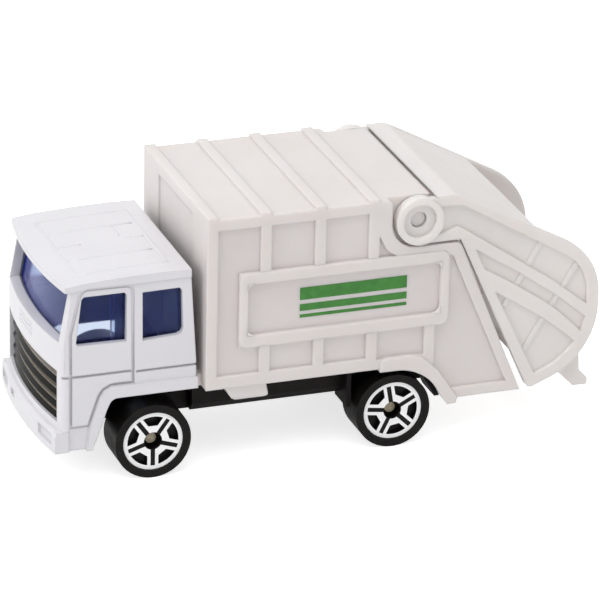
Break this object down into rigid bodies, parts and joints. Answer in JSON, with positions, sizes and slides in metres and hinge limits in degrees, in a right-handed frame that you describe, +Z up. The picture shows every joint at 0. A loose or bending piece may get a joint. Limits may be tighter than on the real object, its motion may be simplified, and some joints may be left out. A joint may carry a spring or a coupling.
{
  "type": "toy garbage truck",
  "caption": "Die-cast toy refuse truck with a cab-over cab, a ribbed plastic box, free-rolling spoked wheels and a hinged rear tailgate that lifts.",
  "frame": {"origin": "on the ground, under the middle of the length and width", "axes": "+X towards the front of the truck, +Y to its left, +Z up"},
  "size_m": [0.0884, 0.0324, 0.0416],
  "materials": {
    "cab_paint": "glossy cool white enamel on die-cast metal",
    "white_plastic": "satin warm white moulded plastic",
    "black_plastic": "satin black moulded plastic",
    "wheel_plastic": "semi-gloss black hard plastic",
    "white_print": "white hot-stamped foil",
    "blue_glazing": "clear blue moulded styrene",
    "steel": "dull plated steel pin"
  },
  "bodies": {
    "root": {"cab_shell": "cab_paint", "cab_glazing": "blue_glazing", "cab_interior": "black_plastic", "grille_insert": "black_plastic", "chassis": "black_plastic", "rivet_front": "steel", "rivet_rear": "steel", "box_body": "white_plastic", "tank_left": "white_plastic", "tank_right": "white_plastic", "axle_front": "steel", "axle_rear": "steel"},
    "tailgate": {"tailgate": "white_plastic"},
    "wheel_front_left": {"wheel_front_left": "wheel_plastic"},
    "wheel_front_right": {"wheel_front_right": "wheel_plastic"},
    "wheel_rear_left": {"wheel_rear_left": "wheel_plastic"},
    "wheel_rear_right": {"wheel_rear_right": "wheel_plastic"}
  },
  "joints": [
    {"name": "tailgate_hinge", "type": "hinge", "parent": "root", "child": "tailgate", "pos_m": [-0.0142, 0, 0.0374], "axis": [0, 1, 0], "range_deg": [0, 60]},
    {"name": "wheel_spin_front_left", "type": "hinge", "parent": "root", "child": "wheel_front_left", "pos_m": [0.0276, 0.012, 0.006], "axis": [0, 1, 0], "continuous": true},
    {"name": "wheel_spin_front_right", "type": "hinge", "parent": "root", "child": "wheel_front_right", "pos_m": [0.0276, -0.012, 0.006], "axis": [0, 1, 0], "continuous": true},
    {"name": "wheel_spin_rear_left", "type": "hinge", "parent": "root", "child": "wheel_rear_left", "pos_m": [-0.011, 0.012, 0.006], "axis": [0, 1, 0], "continuous": true},
    {"name": "wheel_spin_rear_right", "type": "hinge", "parent": "root", "child": "wheel_rear_right", "pos_m": [-0.011, -0.012, 0.006], "axis": [0, 1, 0], "continuous": true}
  ]
}
